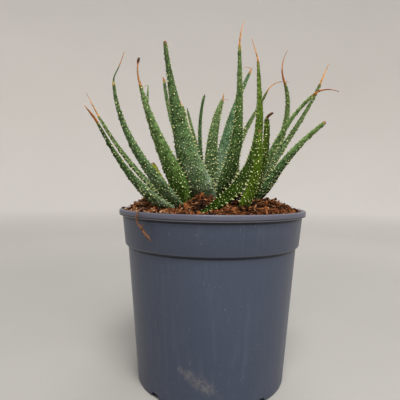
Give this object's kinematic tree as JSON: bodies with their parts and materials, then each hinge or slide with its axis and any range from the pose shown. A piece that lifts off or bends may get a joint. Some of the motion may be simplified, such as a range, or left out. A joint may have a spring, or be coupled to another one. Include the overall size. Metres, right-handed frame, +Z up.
{
  "type": "potted aloe",
  "caption": "Clump of slender toothed aloe leaves with dry tips, rising from short stems in heaped soil, in a tapered nursery pot with a rim and a wide upper band.",
  "frame": {"origin": "middle of the underside of the pot, on the surface that it stands on", "axes": "+Z up along the pot's axis, -Y towards the front that the picture shows, +X to the right"},
  "size_m": [0.2735, 0.2047, 0.3695],
  "materials": {
    "front_leaf_1_skin": "fleshy leaf skin, semi-matt, pale raised spots and teeth, dry brown tip",
    "front_leaf_2_skin": "fleshy leaf skin, semi-matt, pale raised spots and teeth, dry brown tip",
    "front_stem_skin": "short green-brown stem, matt",
    "left_leaf_1_skin": "fleshy leaf skin, semi-matt, pale raised spots and teeth, dry brown tip",
    "left_leaf_2_skin": "fleshy leaf skin, semi-matt, pale raised spots and teeth, dry brown tip",
    "left_leaf_3_skin": "fleshy leaf skin, semi-matt, pale raised spots and teeth, dry brown tip",
    "left_leaf_4_skin": "fleshy leaf skin, semi-matt, pale raised spots and teeth, dry brown tip",
    "left_leaf_5_skin": "fleshy leaf skin, semi-matt, pale raised spots and teeth, dry brown tip",
    "left_leaf_6_skin": "fleshy leaf skin, semi-matt, pale raised spots and teeth, dry brown tip",
    "left_leaf_7_skin": "fleshy leaf skin, semi-matt, pale raised spots and teeth, dry brown tip",
    "left_stem_skin": "short green-brown stem, matt",
    "low_leaf_1_skin": "fleshy leaf skin, semi-matt, pale raised spots and teeth, dry brown tip",
    "low_stem_skin": "short green-brown stem, matt",
    "middle_leaf_1_skin": "fleshy leaf skin, semi-matt, pale raised spots and teeth, dry brown tip",
    "middle_leaf_10_skin": "fleshy leaf skin, semi-matt, pale raised spots and teeth, dry brown tip",
    "middle_leaf_11_skin": "fleshy leaf skin, semi-matt, pale raised spots and teeth, dry brown tip",
    "middle_leaf_12_skin": "fleshy leaf skin, semi-matt, pale raised spots and teeth, dry brown tip",
    "middle_leaf_2_skin": "fleshy leaf skin, semi-matt, pale raised spots and teeth, dry brown tip",
    "middle_leaf_3_skin": "fleshy leaf skin, semi-matt, pale raised spots and teeth, dry brown tip",
    "middle_leaf_4_skin": "fleshy leaf skin, semi-matt, pale raised spots and teeth, dry brown tip",
    "middle_leaf_5_skin": "fleshy leaf skin, semi-matt, pale raised spots and teeth, dry brown tip",
    "middle_leaf_6_skin": "fleshy leaf skin, semi-matt, pale raised spots and teeth, dry brown tip",
    "middle_leaf_7_skin": "fleshy leaf skin, semi-matt, pale raised spots and teeth, dry brown tip",
    "middle_leaf_8_skin": "fleshy leaf skin, semi-matt, pale raised spots and teeth, dry brown tip",
    "middle_leaf_9_skin": "fleshy leaf skin, semi-matt, pale raised spots and teeth, dry brown tip",
    "middle_stem_skin": "short green-brown stem, matt",
    "pot_plastic": "semi-gloss blue-grey moulded plastic with dust and fine scratches",
    "right_leaf_1_skin": "fleshy leaf skin, semi-matt, pale raised spots and teeth, dry brown tip",
    "right_leaf_2_skin": "fleshy leaf skin, semi-matt, pale raised spots and teeth, dry brown tip",
    "right_leaf_3_skin": "fleshy leaf skin, semi-matt, pale raised spots and teeth, dry brown tip",
    "right_leaf_4_skin": "fleshy leaf skin, semi-matt, pale raised spots and teeth, dry brown tip",
    "right_leaf_5_skin": "fleshy leaf skin, semi-matt, pale raised spots and teeth, dry brown tip",
    "right_leaf_6_skin": "fleshy leaf skin, semi-matt, pale raised spots and teeth, dry brown tip",
    "right_leaf_7_skin": "fleshy leaf skin, semi-matt, pale raised spots and teeth, dry brown tip",
    "right_leaf_8_skin": "fleshy leaf skin, semi-matt, pale raised spots and teeth, dry brown tip",
    "right_stem_skin": "short green-brown stem, matt",
    "soil_mix": "loose red-brown coir and peat, matt",
    "withered_leaf_skin": "dry brown leaf, matt"
  },
  "bodies": {
    "root": {"front_leaf_1": "front_leaf_1_skin", "front_leaf_2": "front_leaf_2_skin", "front_stem": "front_stem_skin", "left_leaf_1": "left_leaf_1_skin", "left_leaf_2": "left_leaf_2_skin", "left_leaf_3": "left_leaf_3_skin", "left_leaf_4": "left_leaf_4_skin", "left_leaf_5": "left_leaf_5_skin", "left_leaf_6": "left_leaf_6_skin", "left_leaf_7": "left_leaf_7_skin", "left_stem": "left_stem_skin", "low_leaf_1": "low_leaf_1_skin", "low_stem": "low_stem_skin", "middle_leaf_1": "middle_leaf_1_skin", "middle_leaf_10": "middle_leaf_10_skin", "middle_leaf_11": "middle_leaf_11_skin", "middle_leaf_12": "middle_leaf_12_skin", "middle_leaf_2": "middle_leaf_2_skin", "middle_leaf_3": "middle_leaf_3_skin", "middle_leaf_4": "middle_leaf_4_skin", "middle_leaf_5": "middle_leaf_5_skin", "middle_leaf_6": "middle_leaf_6_skin", "middle_leaf_7": "middle_leaf_7_skin", "middle_leaf_8": "middle_leaf_8_skin", "middle_leaf_9": "middle_leaf_9_skin", "middle_stem": "middle_stem_skin", "pot": "pot_plastic", "right_leaf_1": "right_leaf_1_skin", "right_leaf_2": "right_leaf_2_skin", "right_leaf_3": "right_leaf_3_skin", "right_leaf_4": "right_leaf_4_skin", "right_leaf_5": "right_leaf_5_skin", "right_leaf_6": "right_leaf_6_skin", "right_leaf_7": "right_leaf_7_skin", "right_leaf_8": "right_leaf_8_skin", "right_stem": "right_stem_skin", "soil": "soil_mix", "withered_leaf": "withered_leaf_skin"}
  },
  "joints": []
}
